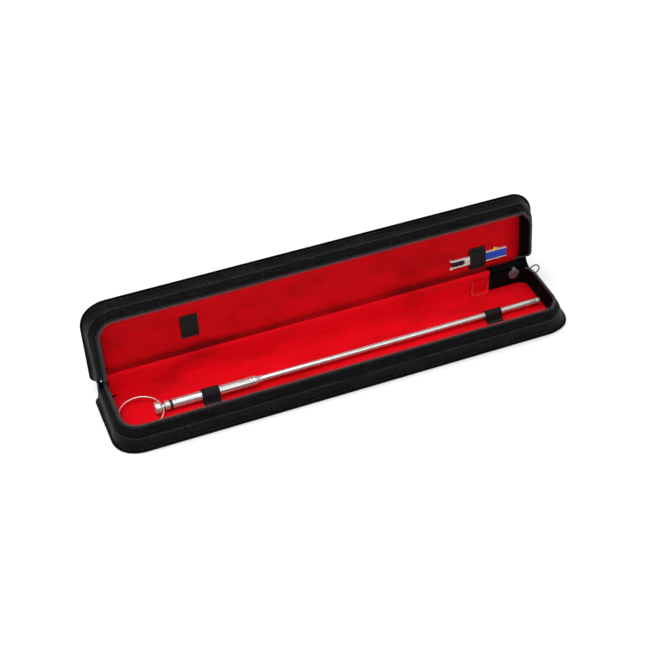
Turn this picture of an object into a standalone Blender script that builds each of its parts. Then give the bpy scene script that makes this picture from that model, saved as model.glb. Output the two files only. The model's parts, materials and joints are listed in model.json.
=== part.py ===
"""A long zip-round carrying case lying open, with a turned steel stick held in it by elastic loops.

Metres, +Z up. X runs along the case, +Y points to the hinged side, and Z = 0 is the underside of the base.
The lid is modelled shut, on an empty that stands on the hinge line, and that empty then swings it open.
"""

from math import cos, pi, radians, sin

import bmesh
import bpy
from mathutils import Matrix

MM = 0.001
GAP = 0.3 * MM

# Case: insets are measured inwards from the plan's outline
LENGTH = 500 * MM
WIDTH = 90 * MM
CORNER = 25 * MM
MID = 31.5 * MM  # the zip's closing plane, and half of the shut height
PANEL = 4 * MM  # thickness of the bottom and of the lid's panel
WALL_TOP = MID - 4.5 * MM  # the moulded wall ends below the zip tape
WALL_FOOT_INSET = 5 * MM
WALL_TOP_INSETS = (0.6 * MM, 3.6 * MM)  # outer and inner face at the wall's top
LINING = 1.6 * MM
LINING_TOP = PANEL + GAP + LINING
LINING_INSET = WALL_FOOT_INSET + GAP

# Zip
TAPE_OUTER = (1.5 * MM, WALL_TOP + 2 * GAP)  # inset and height of the tape's outer edge
TAPE_INNER = (6.5 * MM, WALL_TOP + 2.9 * MM)
TAPE = 1.1 * MM
TAPE_BACK = 15 * MM  # the base's tape stops here, before the rear corners
COIL_R = 1.1 * MM
COIL_INSET = 8 * MM
COIL_Z = MID - 0.5 * GAP - COIL_R

# Piping round the edge of both panels
PIPING_R = 1.2 * MM
PIPING_OUTSET = 0.6 * MM
PIPING_Z = 1.25 * MM

# Lid hinge: a soft fold, turning about a line inside and above the base's back wall
OPEN_ANGLE = radians(98)
HINGE_Y = WIDTH / 2 - 14.9 * MM
HINGE_Z = MID + 7.2 * MM
LID_WALL_BACK = HINGE_Y - 0.6 * MM  # the lid's end walls stop in front of the hinge line
LID_TAPE_BACK = 19 * MM
LID_LINING_BACK = 36 * MM
FOLD_LEFT = -222 * MM
FOLD_RIGHT = 197.7 * MM
GUSSET_X = 246 * MM

# Stick, along X
AXIS_Y = -4 * MM
AXIS_Z = 13 * MM
POMMEL_FACE = -203 * MM
POMMEL_R = 6.5 * MM
POMMEL_LENGTH = 6.5 * MM
NECK_R = 2.8 * MM
NECK_LENGTH = 4 * MM
COLLAR_R = 5.2 * MM
COLLAR_LENGTH = 5 * MM
O_RING_R = 1 * MM
O_RING_SEAT_R = 4 * MM
HANDLE_R = 5 * MM
HANDLE_END = -98 * MM
FERRULE_END = -91 * MM
COLLET_R = 3.6 * MM
COLLET_LENGTH = 2.6 * MM
ROD_R = 3 * MM
ROD_END = 230 * MM
TIP_END = 235 * MM
TIP_HOLLOW = 1.1 * MM
RING_R = 22.7 * MM
RING_WIRE = 0.65 * MM
RING_HOLE = 1.15 * MM
NECK_X = POMMEL_FACE + POMMEL_LENGTH + NECK_LENGTH / 2

# Elastic loops
ELASTIC = 1.2 * MM
LOOP_WIDTH = 20 * MM
LOOP_TAB = 4 * MM
BASE_LOOPS = {"left": (-144 * MM, HANDLE_R), "right": (178 * MM, ROD_R)}

# The lid's loops, and the small tool in the right one, in the lid's shut position
LID_LOOP_LEFT = (-145 * MM, 6 * MM)
LID_LOOP_RIGHT = (183 * MM, 18 * MM)
LID_FACE = 2 * MID - LINING_TOP  # the lining's face that looks down when shut
LOOP_HALF_SPAN = 13.5 * MM
TOOL_START = 150 * MM
TOOL_FRAME_END = 186 * MM
TOOL_SLOT_END = 166 * MM
TOOL_END = 218 * MM
TOOL_HALF = 4.5 * MM
TOOL_SLOT_HALF = 2.9 * MM
TOOL_THICK = 3 * MM
TOOL_EDGE = 0.8 * MM
EYELET_R = 1.8 * MM

# Zip end, slider and pull
PATCH = (172 * MM, 194.5 * MM)
ZIP_END = (198 * MM, 217.5 * MM)
SLIDER_X = LENGTH / 2 - CORNER
SLIDER_LENGTH = 13 * MM
PLATE = 1.2 * MM
INNER_PLATE_Y = 37.4 * MM
OUTER_PLATE_Y = WIDTH / 2 + GAP
BRIDGE_HALF = 2 * MM
LUG_HALF = 1.6 * MM
LUG_THICK = 0.8 * MM
TAB_Y = OUTER_PLATE_Y + PLATE + 2.6 * MM
TAB_Z = 8.4 * MM
TAB_LENGTH = 29 * MM
TAB_HALF = 2.2 * MM
TAB_THICK = 1.2 * MM
PULL_RING_R = 6 * MM
PULL_RING_WIRE = 0.6 * MM

COLOURS = {
    "nylon": ((0.012, 0.012, 0.013), 0.8, 0.0),
    "lining": ((0.62, 0.003, 0.009), 0.9, 0.0),
    "elastic": ((0.01, 0.01, 0.011), 0.85, 0.0),
    "zip_coil": ((0.02, 0.02, 0.022), 0.4, 0.0),
    "steel": ((0.62, 0.61, 0.59), 0.3, 1.0),
    "rubber": ((0.01, 0.01, 0.01), 0.6, 0.0),
    "zip_metal": ((0.16, 0.165, 0.175), 0.4, 1.0),
    "black_plastic": ((0.012, 0.012, 0.013), 0.4, 0.0),
    "white_plastic": ((0.8, 0.8, 0.78), 0.4, 0.0),
    "blue_plastic": ((0.02, 0.06, 0.42), 0.4, 0.0),
    "yellow_plastic": ((0.8, 0.5, 0.03), 0.4, 0.0),
}


def clear_scene():
    for obj in list(bpy.data.objects):
        bpy.data.objects.remove(obj, do_unlink=True)


def collection(name):
    group = bpy.data.collections.new(name)
    bpy.context.scene.collection.children.link(group)
    return group


def material(name):
    """One Principled material for each colour name, made once."""
    if name in bpy.data.materials:
        return bpy.data.materials[name]
    colour, roughness, metallic = COLOURS[name]
    mat = bpy.data.materials.new(name)
    mat.use_nodes = True
    shader = mat.node_tree.nodes["Principled BSDF"]
    shader.inputs["Base Color"].default_value = (*colour, 1)
    shader.inputs["Roughness"].default_value = roughness
    shader.inputs["Metallic"].default_value = metallic
    return mat


def finished(bm, name="shape"):
    """A bmesh as a mesh with its faces turned outwards."""
    bmesh.ops.recalc_face_normals(bm, faces=bm.faces)
    mesh = bpy.data.meshes.new(name)
    bm.to_mesh(mesh)
    bm.free()
    return mesh


def part(name, mesh, colour, parent=None):
    """A named sub-part, smooth but for its sharp edges."""
    obj = bpy.data.objects.new(name, mesh)
    PARTS.objects.link(obj)
    mesh.name = name
    mesh.materials.append(material(colour))
    mesh.shade_smooth()
    mesh.set_sharp_from_angle(angle=radians(35))
    obj.parent = parent
    return obj


def cut(obj, mesh, name):
    """Takes a mesh away from a part."""
    cutter = bpy.data.objects.new(name, mesh)
    CUTTERS.objects.link(cutter)
    cutter.parent = obj.parent
    cutter.hide_render = True
    cutter.display_type = "WIRE"
    mod = obj.modifiers.new(name, "BOOLEAN")
    mod.object = cutter


def arc(centre, radius, start, end, steps):
    """Points on an arc, its angles in degrees."""
    angles = [radians(start + (end - start) * i / steps) for i in range(steps + 1)]
    return [(centre[0] + radius * cos(a), centre[1] + radius * sin(a)) for a in angles]


def whole_run(inset, steps=5):
    """The case's plan, rounded at its four corners."""
    half_x, half_y, radius = LENGTH / 2 - inset, WIDTH / 2 - inset, CORNER - inset
    points = []
    for quarter, (sx, sy) in enumerate(((1, 1), (-1, 1), (-1, -1), (1, -1))):
        centre = (sx * (half_x - radius), sy * (half_y - radius))
        points += arc(centre, radius, 90 * quarter, 90 * quarter + 90, steps)
    return points


def front_run(inset, back, steps=5):
    """The plan from the right end, round the front and to the left end, short of the hinged side."""
    half_x, half_y, radius = LENGTH / 2 - inset, WIDTH / 2 - inset, CORNER - inset
    right = arc((half_x - radius, radius - half_y), radius, 0, -90, steps)
    left = arc((radius - half_x, radius - half_y), radius, -90, -180, steps)
    return [(half_x, back), *right, *left, (-half_x, back)]


def sweep(profile, run, cyclic=False):
    """A closed section of (inset, height) points carried along a run of the case's plan."""
    bm = bmesh.new()
    rows = [[bm.verts.new((x, y, z)) for x, y in run(inset)] for inset, z in profile]
    count = len(rows[0])
    for i, row in enumerate(rows):
        above = rows[(i + 1) % len(rows)]
        for j in range(count if cyclic else count - 1):
            k = (j + 1) % count
            bm.faces.new((row[j], row[k], above[k], above[j]))
    if not cyclic:
        bm.faces.new([row[0] for row in rows])
        bm.faces.new([row[-1] for row in rows])
    return finished(bm)


def tray(levels):
    """A tray from (inset, height) levels: up its outer side, over the wall and down to the floor inside."""
    bm = bmesh.new()
    rows = [[bm.verts.new((x, y, z)) for x, y in whole_run(inset)] for inset, z in levels]
    count = len(rows[0])
    for row, above in zip(rows, rows[1:]):
        for j in range(count):
            k = (j + 1) % count
            bm.faces.new((row[j], row[k], above[k], above[j]))
    bm.faces.new(rows[0])
    bm.faces.new(rows[-1])
    return finished(bm)


def flipped(profile):
    """The same profile in the lid, mirrored in the zip's plane."""
    return [(inset, 2 * MID - z) for inset, z in profile]


def round_profile(inset, z, radius, sides=8):
    return arc((inset, z), radius, 0, 360 - 360 / sides, sides - 1)


def box(low, high):
    """A box mesh between two corners."""
    bm = bmesh.new()
    bmesh.ops.create_cube(bm, size=1)
    size = [b - a for a, b in zip(low, high)]
    bmesh.ops.scale(bm, vec=size, verts=bm.verts)
    bmesh.ops.translate(bm, vec=[(a + b) / 2 for a, b in zip(low, high)], verts=bm.verts)
    return finished(bm)


def prism(outline, low, high):
    """A flat outline filled and extruded between two heights."""
    curve = bpy.data.curves.new("outline", "CURVE")
    curve.dimensions = "2D"
    curve.fill_mode = "BOTH"
    curve.extrude = (high - low) / 2
    spline = curve.splines.new("POLY")
    spline.points.add(len(outline) - 1)
    for point, (x, y) in zip(spline.points, outline):
        point.co = (x, y, 0, 1)
    spline.use_cyclic_u = True
    guide = bpy.data.objects.new("outline", curve)
    PARTS.objects.link(guide)
    bpy.context.view_layer.update()
    filled = bpy.data.meshes.new_from_object(guide.evaluated_get(bpy.context.evaluated_depsgraph_get()))
    bpy.data.objects.remove(guide, do_unlink=True)
    bm = bmesh.new()
    bm.from_mesh(filled)
    bmesh.ops.remove_doubles(bm, verts=bm.verts, dist=0.01 * MM)
    bmesh.ops.translate(bm, vec=(0, 0, (low + high) / 2), verts=bm.verts)
    return finished(bm)


def thick(points, thickness):
    """The outline of a strip that follows an open path of (x, y) points."""
    normals = []
    for (ax, ay), (bx, by) in zip(points, points[1:]):
        length = ((bx - ax) ** 2 + (by - ay) ** 2) ** 0.5
        normals.append(((ay - by) / length, (bx - ax) / length))
    first, last = normals[0], normals[-1]
    sides = ([], [])
    for (x, y), one, two in zip(points, [first, *normals], [*normals, last]):
        nx, ny = one[0] + two[0], one[1] + two[1]
        reach = thickness / (nx * nx + ny * ny)
        sides[0].append((x + nx * reach, y + ny * reach))
        sides[1].append((x - nx * reach, y - ny * reach))
    return [*sides[0], *reversed(sides[1])]


def along_x(mesh, x):
    """Turns a prism of (y, z) points so that it runs along X, about the given place."""
    mesh.transform(Matrix(((0, 0, 1, x), (1, 0, 0, 0), (0, 1, 0, 0), (0, 0, 0, 1))))
    return mesh


def turned(name, profile, colour, parent, steps=20):
    """A turned part on the stick's axis, from (x, radius) points, right end first."""
    bm = bmesh.new()
    verts = [bm.verts.new((radius, 0, x)) for x, radius in profile]
    for first, second in zip(verts, verts[1:]):
        bm.edges.new((first, second))
    mesh = bpy.data.meshes.new(name)
    bm.to_mesh(mesh)
    bm.free()
    obj = part(name, mesh, colour, parent)
    obj.rotation_euler = (0, pi / 2, 0)
    mod = obj.modifiers.new("turn", "SCREW")
    mod.steps = steps
    mod.render_steps = steps
    mod.use_merge_vertices = True
    mod.merge_threshold = 0.00001
    mod.use_smooth_shade = True
    return obj


def wire_ring(radius, wire):
    """A wire ring in the XY plane, about its own centre."""
    bpy.ops.mesh.primitive_torus_add(
        major_radius=radius, minor_radius=wire, major_segments=32, minor_segments=8
    )
    guide = bpy.context.object
    mesh = guide.data
    bpy.data.objects.remove(guide, do_unlink=True)
    return mesh


def empty(name, place, parent=None):
    """A pivot that a moving piece is parented to."""
    obj = bpy.data.objects.new(name, None)
    PARTS.objects.link(obj)
    obj.location = place
    obj.parent = parent
    return obj


TRAY = [
    (5 * MM, 0),
    (1.5 * MM, 1.2 * MM),
    (0.3 * MM, 4.5 * MM),
    (WALL_TOP_INSETS[0], WALL_TOP),
    (WALL_TOP_INSETS[1], WALL_TOP),
    (WALL_FOOT_INSET, PANEL),
]


def tape_profile():
    """The zip's tape leans inwards from the wall's top to the teeth."""
    (outer, low), (inner, high) = TAPE_OUTER, TAPE_INNER
    return [(outer, low), (inner, high), (inner, high + TAPE), (outer, low + TAPE)]


def base_run(inset):
    return front_run(inset, TAPE_BACK)


def lid_run(inset):
    return front_run(inset, LID_TAPE_BACK)


def lining_slab(back, low, high):
    """The red lining of a floor or panel, cut straight along the hinged side."""
    half_x, half_y, radius = LENGTH / 2 - LINING_INSET, WIDTH / 2 - LINING_INSET, CORNER - LINING_INSET
    front = front_run(LINING_INSET, half_y - radius)
    rear_left = arc((radius - half_x, back - radius), radius, 180, 90, 5)
    rear_right = arc((half_x - radius, back - radius), radius, 90, 0, 5)
    return prism([*front[1:-1], *rear_left, *rear_right], low, high)


def make_base():
    part("base_shell", tray(TRAY), "nylon")
    piping = round_profile(-PIPING_OUTSET, PIPING_Z, PIPING_R)
    part("base_piping", sweep(piping, whole_run, cyclic=True), "nylon")
    part("base_lining", lining_slab(WIDTH / 2 - LINING_INSET, PANEL + GAP, LINING_TOP), "lining")
    part("base_zip_tape", sweep(tape_profile(), base_run), "nylon")
    part("base_zip_coil", sweep(round_profile(COIL_INSET, COIL_Z, COIL_R), base_run), "zip_coil")
    make_back_wall()


def make_back_wall():
    """The red facing of the back wall, the sewn patch on it and the zip's black end piece."""
    foot = LINING_TOP + GAP
    face = WIDTH / 2 - WALL_FOOT_INSET - GAP
    part("back_lining", box((FOLD_LEFT, face - 1.2 * MM, foot), (FOLD_RIGHT, face, MID - 1.3 * MM)), "lining")
    patch_face = face - 1.2 * MM - GAP
    part("sewn_patch", box((PATCH[0], patch_face - MM, foot), (PATCH[1], patch_face, WALL_TOP)), "lining")
    part("zip_end_patch", box((ZIP_END[0], face - 0.8 * MM, foot), (ZIP_END[1], face, WALL_TOP)), "nylon")


def make_fold():
    """The soft pieces that bridge the two halves: spine cloth, the lining's fold and two end gussets."""
    back = WIDTH / 2
    spine = box((FOLD_LEFT, back, 6 * MM), (FOLD_RIGHT, back + 1.2 * MM, MID - 1.2 * MM))
    part("spine_strip", spine, "nylon")
    fold = box((FOLD_LEFT, 38.4 * MM, MID - MM), (FOLD_RIGHT, back + 1.9 * MM, MID + 0.2 * MM))
    part("lining_fold", fold, "lining")
    foot = WALL_TOP + 2 * GAP
    gusset = [(22 * MM, foot), (44 * MM, foot), (44 * MM, 35 * MM), (28 * MM, 37.5 * MM)]
    for side, x in (("left", -GUSSET_X), ("right", GUSSET_X)):
        part(f"hinge_gusset_{side}", along_x(prism(gusset, -0.6 * MM, 0.6 * MM), x), "nylon")


def make_lid():
    """Everything that the lid carries, modelled shut and swung open by its empty."""
    hinge = empty("lid_hinge", (0, HINGE_Y, HINGE_Z))
    shut = empty("lid_frame", (0, -HINGE_Y, -HINGE_Z), hinge)
    shell = part("lid_shell", tray(flipped(TRAY)), "nylon", shut)
    behind = box((-LENGTH, LID_WALL_BACK, 0), (LENGTH, WIDTH, 2 * MID - PANEL))
    cut(shell, behind, "behind_the_hinge")
    piping = flipped(round_profile(-PIPING_OUTSET, PIPING_Z, PIPING_R))
    part("lid_piping", sweep(piping, whole_run, cyclic=True), "nylon", shut)
    part("lid_lining", lining_slab(LID_LINING_BACK, LID_FACE, 2 * MID - PANEL - GAP), "lining", shut)
    part("lid_zip_tape", sweep(flipped(tape_profile()), lid_run), "nylon", shut)
    coil = flipped(round_profile(COIL_INSET, COIL_Z, COIL_R))
    part("lid_zip_coil", sweep(coil, lid_run), "zip_coil", shut)
    make_lid_loops(shut)
    make_tool(shut)
    hinge.rotation_euler = (-OPEN_ANGLE, 0, 0)


def lid_loop(centre, half_top, drop):
    """A flat elastic loop's side outline: two sewn ends and a bridge that stands off the lining."""
    flat = LID_FACE - GAP - ELASTIC / 2
    ramp = half_top + 3.5 * MM
    half = [(LOOP_HALF_SPAN, flat), (ramp, flat), (half_top, flat - drop)]
    path = [(centre + y, z) for y, z in half] + [(centre - y, z) for y, z in reversed(half)]
    return prism(thick(path, ELASTIC), -LOOP_WIDTH / 2, LOOP_WIDTH / 2)


def make_lid_loops(parent):
    x, y = LID_LOOP_LEFT
    part("lid_loop_left", along_x(lid_loop(y, 6 * MM, 1.4 * MM), x), "elastic", parent)
    x, y = LID_LOOP_RIGHT
    drop = TOOL_THICK + GAP
    part("lid_loop_right", along_x(lid_loop(y, 7 * MM, drop), x), "elastic", parent)


def make_tool(parent):
    """The small tool: an open frame with a dark insert and an eyelet, and a coloured sleeve."""
    y = LID_LOOP_RIGHT[1]
    high = LID_FACE - GAP
    low = high - TOOL_THICK
    arm, slot = TOOL_HALF, TOOL_SLOT_HALF
    frame = [
        (TOOL_START, y - arm - MM),
        (TOOL_START + 4 * MM, y - arm),
        (TOOL_FRAME_END, y - arm),
        (TOOL_FRAME_END, y + arm),
        (TOOL_START + 4 * MM, y + arm),
        (TOOL_START, y + arm + MM),
        (TOOL_START, y + slot + MM),
        (TOOL_START + 4 * MM, y + slot),
        (TOOL_SLOT_END, y + slot),
        (TOOL_SLOT_END, y - slot),
        (TOOL_START + 4 * MM, y - slot),
        (TOOL_START, y - slot - MM),
    ]
    part("tool_frame", prism(frame, low, high), "white_plastic", parent)
    inner = slot - GAP
    insert = box((TOOL_START + 5 * MM, y - inner, low + 0.5 * MM), (TOOL_SLOT_END - GAP, y + inner, high))
    part("tool_insert", insert, "black_plastic", parent)
    eyelet = wire_ring(EYELET_R, 0.5 * MM)
    eyelet.transform(Matrix.Translation((TOOL_SLOT_END + 3.6 * MM, y, low - 0.5 * MM - GAP)))
    part("tool_eyelet", eyelet, "steel", parent)
    start = TOOL_FRAME_END + GAP
    part("tool_sleeve", box((start, y - arm, low), (TOOL_END, y + arm, high)), "blue_plastic", parent)
    for side, sign in (("upper", -1), ("lower", 1)):
        near, far = sorted((y + sign * (arm + GAP), y + sign * (arm + GAP + TOOL_EDGE)))
        edge = box((start, near, low), (TOOL_END, far, high))
        part(f"tool_edge_{side}", edge, "white_plastic", parent)
    rim = y - arm - 2 * GAP - TOOL_EDGE
    peaks = [(200, 0), (208.5, 0), (207, -2.2), (205.5, -1), (203.5, -2.6), (201.5, -1)]
    tab = [(px * MM, rim + dy * MM) for px, dy in peaks]
    part("tool_tab", prism(tab, low, low + 1.2 * MM), "yellow_plastic", parent)


def base_loop(stick_radius):
    """An elastic loop's side outline: sewn ends on the floor and a bow over the stick."""
    foot = LINING_TOP + GAP + ELASTIC / 2
    radius = stick_radius + GAP + ELASTIC / 2
    side = radius + 1.5 * MM
    bow = arc((AXIS_Y, AXIS_Z), radius, -10, 190, 12)
    left_foot = [(AXIS_Y + side, foot), (AXIS_Y + side + LOOP_TAB, foot)]
    right_foot = [(AXIS_Y - side, foot), (AXIS_Y - side - LOOP_TAB, foot)]
    path = [*reversed(left_foot), *bow, *right_foot]
    return prism(thick(path, ELASTIC), -LOOP_WIDTH / 2, LOOP_WIDTH / 2)


def make_base_loops():
    for side, (x, radius) in BASE_LOOPS.items():
        part(f"base_loop_{side}", along_x(base_loop(radius), x), "elastic")


def make_stick():
    """The turned stick: pommel, collar, rubber ring, handle, ferrule, collet, rod and tip."""
    axis = empty("stick_axis", (0, AXIS_Y, AXIS_Z))
    neck_end = POMMEL_FACE + POMMEL_LENGTH + NECK_LENGTH
    chamfer = 0.6 * MM
    pommel_back = POMMEL_FACE + POMMEL_LENGTH
    pommel = turned(
        "pommel",
        [
            (neck_end, 0),
            (neck_end, NECK_R),
            (pommel_back, NECK_R),
            (pommel_back, POMMEL_R - chamfer),
            (pommel_back - chamfer, POMMEL_R),
            (POMMEL_FACE + chamfer, POMMEL_R),
            (POMMEL_FACE, POMMEL_R - chamfer),
            (POMMEL_FACE, 0),
        ],
        "steel",
        axis,
    )
    hole = prism(arc((0, 0), RING_HOLE, 0, 345, 23), -2 * NECK_R, 2 * NECK_R)
    hole.transform(Matrix.Translation((NECK_X, 0, 0)) @ Matrix.Rotation(pi / 2, 4, "X"))
    cut(pommel, hole, "ring_hole")

    collar_start = neck_end + GAP
    collar_end = collar_start + COLLAR_LENGTH
    plain_turning("end_collar", collar_start, collar_end, COLLAR_R, 0.4 * MM, axis)
    seat_end = collar_end + 2 * O_RING_R + 2 * GAP
    seat_x = (collar_end + seat_end) / 2
    turned(
        "handle",
        [
            (HANDLE_END, 0),
            (HANDLE_END, HANDLE_R),
            (seat_end, HANDLE_R),
            (seat_end, O_RING_SEAT_R - O_RING_R),
            (collar_end + GAP, O_RING_SEAT_R - O_RING_R),
            (collar_end + GAP, 0),
        ],
        "steel",
        axis,
    )
    o_ring = wire_ring(O_RING_SEAT_R + GAP, O_RING_R)
    o_ring.transform(Matrix.Rotation(pi / 2, 4, "Y"))
    o_ring.transform(Matrix.Translation((seat_x, 0, 0)))
    part("o_ring", o_ring, "rubber", axis)
    turned(
        "ferrule",
        [
            (FERRULE_END, 0),
            (FERRULE_END, COLLET_R),
            (HANDLE_END + 1.6 * MM, HANDLE_R),
            (HANDLE_END + GAP, HANDLE_R),
            (HANDLE_END + GAP, 0),
        ],
        "steel",
        axis,
    )
    collet_end = FERRULE_END + GAP + COLLET_LENGTH
    plain_turning("collet", FERRULE_END + GAP, collet_end, COLLET_R, 0.3 * MM, axis)
    plain_turning("rod", collet_end + GAP, ROD_END, ROD_R, 0, axis)
    turned(
        "rod_tip",
        [
            (TIP_END - 1.5 * MM, 0),
            (TIP_END - 1.5 * MM, TIP_HOLLOW),
            (TIP_END, TIP_HOLLOW + 0.3 * MM),
            (TIP_END - 0.3 * MM, 0.75 * ROD_R),
            (TIP_END - 1.4 * MM, ROD_R),
            (ROD_END + GAP, ROD_R),
            (ROD_END + GAP, 0),
        ],
        "steel",
        axis,
    )
    make_pommel_ring(axis)


def plain_turning(name, start, end, radius, chamfer, parent):
    """A cylinder on the stick's axis with chamfered ends."""
    profile = [(end, 0), (end, radius - chamfer), (end - chamfer, radius)]
    profile += [(start + chamfer, radius), (start, radius - chamfer), (start, 0)]
    if not chamfer:
        profile = [(end, 0), (end, radius), (start, radius), (start, 0)]
    return turned(name, profile, "steel", parent)


def make_pommel_ring(axis):
    """The wire ring lies level, passing through the cross hole in the pommel's neck."""
    pivot = empty("ring_pivot", (NECK_X, 0, 0), axis)
    ring = part("pommel_ring", wire_ring(RING_R, RING_WIRE), "steel", pivot)
    ring.location = (-RING_R, 0, 0)


def make_slider():
    """The zip's slider, parked at the rear corner: two plates joined over the wall, and lugs for the pull."""
    pivot = empty("zip_corner", (SLIDER_X, WIDTH / 2 - CORNER, 0))
    x0, x1 = -SLIDER_LENGTH / 2, SLIDER_LENGTH / 2
    y_in = INNER_PLATE_Y - (WIDTH / 2 - CORNER)
    y_out = OUTER_PLATE_Y - (WIDTH / 2 - CORNER)
    top = MID - 2.8 * MM
    inner = box((x0, y_in, 14.5 * MM), (x1, y_in + PLATE, 26 * MM))
    slider = part("zip_slider", inner, "zip_metal", pivot)
    neck_foot = 20 * MM
    joined = [
        box((x0 + 2 * MM, y_out, 6 * MM), (x1 - 2 * MM, y_out + PLATE, 20.5 * MM)),
        box((-BRIDGE_HALF, y_in, neck_foot), (BRIDGE_HALF, y_in + PLATE, top)),
        box((-BRIDGE_HALF, y_out, neck_foot), (BRIDGE_HALF, y_out + PLATE, top)),
        box((-BRIDGE_HALF, y_in, WALL_TOP + GAP), (BRIDGE_HALF, y_out + PLATE, top)),
    ]
    lug_gap = TAB_THICK / 2 + GAP
    y_lug = TAB_Y - (WIDTH / 2 - CORNER)
    for low in (TAB_Z - lug_gap - LUG_THICK, TAB_Z + lug_gap):
        joined.append(box((-LUG_HALF, y_out, low), (LUG_HALF, y_lug + LUG_HALF, low + LUG_THICK)))
    for i, mesh in enumerate(joined):
        join = bpy.data.objects.new(f"slider_piece_{i}", mesh)
        CUTTERS.objects.link(join)
        join.parent = pivot
        join.hide_render = True
        join.display_type = "WIRE"
        mod = slider.modifiers.new(join.name, "BOOLEAN")
        mod.operation = "UNION"
        mod.object = join
    make_pull()


def make_pull():
    """The pull: a flat tab that turns on the slider's lugs, and a wire ring through its end."""
    pivot = empty("tab_pivot", (SLIDER_X, TAB_Y, TAB_Z))
    end = TAB_LENGTH - TAB_HALF
    round_end = arc((end, 0), TAB_HALF, -90, 90, 8)
    outline = [(0, -TAB_HALF), *round_end, (0, TAB_HALF)]
    tab = part("zip_pull_tab", prism(outline, -TAB_THICK / 2, TAB_THICK / 2), "nylon", pivot)
    hole = prism(arc((end, 0), 1.1 * MM, 0, 345, 15), -2 * MM, 2 * MM)
    cut(tab, hole, "tab_hole")
    ring_pivot = empty("pull_ring_pivot", (end, 0, 0), pivot)
    mesh = wire_ring(PULL_RING_R, PULL_RING_WIRE)
    mesh.transform(Matrix.Rotation(pi / 2, 4, "X"))
    ring = part("zip_pull_ring", mesh, "zip_metal", ring_pivot)
    ring.location = (PULL_RING_R, 0, 0)


clear_scene()
PARTS = collection("carrying_case")
CUTTERS = collection("cutters")
make_base()
make_fold()
make_lid()
make_base_loops()
make_stick()
make_slider()
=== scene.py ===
"""Looks for a cased steel stick: a long zip-round fabric case lying open, lined in red.

Metres, in the CAD's frame. Both halves of the case are made with the same functions: a Half object
places a point given as a place on the case's plan, an inset from its outline and a depth.
"""

import json
from math import cos, pi, radians, sin

import bmesh
import bpy
from mathutils import Matrix, Vector, noise


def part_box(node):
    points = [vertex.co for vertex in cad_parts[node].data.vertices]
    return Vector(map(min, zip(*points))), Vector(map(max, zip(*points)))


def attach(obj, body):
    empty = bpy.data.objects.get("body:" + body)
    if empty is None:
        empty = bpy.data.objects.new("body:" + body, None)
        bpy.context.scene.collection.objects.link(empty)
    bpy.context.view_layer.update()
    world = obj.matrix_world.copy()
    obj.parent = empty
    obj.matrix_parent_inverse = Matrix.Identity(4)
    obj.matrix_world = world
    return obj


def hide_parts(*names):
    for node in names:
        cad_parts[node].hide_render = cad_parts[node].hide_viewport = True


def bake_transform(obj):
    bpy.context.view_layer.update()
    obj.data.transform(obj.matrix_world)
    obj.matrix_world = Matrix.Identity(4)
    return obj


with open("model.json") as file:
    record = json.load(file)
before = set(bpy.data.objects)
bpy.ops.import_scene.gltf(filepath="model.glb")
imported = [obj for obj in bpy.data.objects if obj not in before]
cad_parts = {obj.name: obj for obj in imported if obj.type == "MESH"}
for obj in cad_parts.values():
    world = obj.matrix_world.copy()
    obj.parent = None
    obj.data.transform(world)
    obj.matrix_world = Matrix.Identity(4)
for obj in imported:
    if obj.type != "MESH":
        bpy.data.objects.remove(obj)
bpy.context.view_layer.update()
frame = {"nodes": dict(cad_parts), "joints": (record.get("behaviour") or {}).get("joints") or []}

MM = 0.001

# Case, read from the frame
SHELL_LOW, SHELL_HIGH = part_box("base_shell")
HALF_X = SHELL_HIGH.x + 0.3 * MM
HALF_Y = SHELL_HIGH.y + 0.3 * MM
CORNER = 25 * MM
TIGHT_CORNER = 7 * MM
MID = 31.5 * MM
RIM = 28 * MM
PANEL = 4 * MM
FLOOR_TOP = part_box("base_lining")[1].z
HINGE = next(joint for joint in frame["joints"] if joint["name"] == "lid_hinge")
OPEN_ANGLE = radians(HINGE["range_deg"][1])
HINGE_AT = Vector(HINGE["pos_m"])
OPEN = (
    Matrix.Translation(HINGE_AT)
    @ Matrix.Rotation(-OPEN_ANGLE, 4, "X")
    @ Matrix.Translation(-HINGE_AT)
)
SHUT = OPEN.inverted()

# The red lining's reach at either end
RED_LEFT = -238.5 * MM
RED_RIGHT = 241 * MM

# Trims
COIL_INSET = 7.0 * MM
COIL_DEPTH = 30.2 * MM
PIPING_R = 1.2 * MM
STEP = 4 * MM
PIPING_INSET = -0.6 * MM
PIPING_DEPTH = 1.25 * MM
TAPE_BACK = 37 * MM
TAPE_CLOTH_THICK = 0.7 * MM

# Where the slider's outer plate stands, just clear of the back wall
OUTER_PLATE_Y = 45.3 * MM

# How far the lid lining's face stands in from the lid panel's outside
LID_LINING_DEPTH = 5.9 * MM

# How much the painted crease shade darkens the lid lining low down, and the share that stays
PAINTED_CREASE_SHADE = 0.45


def smooth(x):
    x = min(max(x, 0), 1)
    return x * x * (3 - 2 * x)


def mix(a, b, t):
    return a + (b - a) * t


# ---------------------------------------------------------------- mesh helpers


def finish_mesh(bm, name, material, angle=40):
    bmesh.ops.recalc_face_normals(bm, faces=bm.faces)
    mesh = bpy.data.meshes.new(name)
    bm.to_mesh(mesh)
    bm.free()
    mesh.shade_smooth()
    mesh.set_sharp_from_angle(angle=radians(angle))
    obj = bpy.data.objects.new(name, mesh)
    bpy.context.scene.collection.objects.link(obj)
    mesh.materials.append(material)
    return obj


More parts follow.
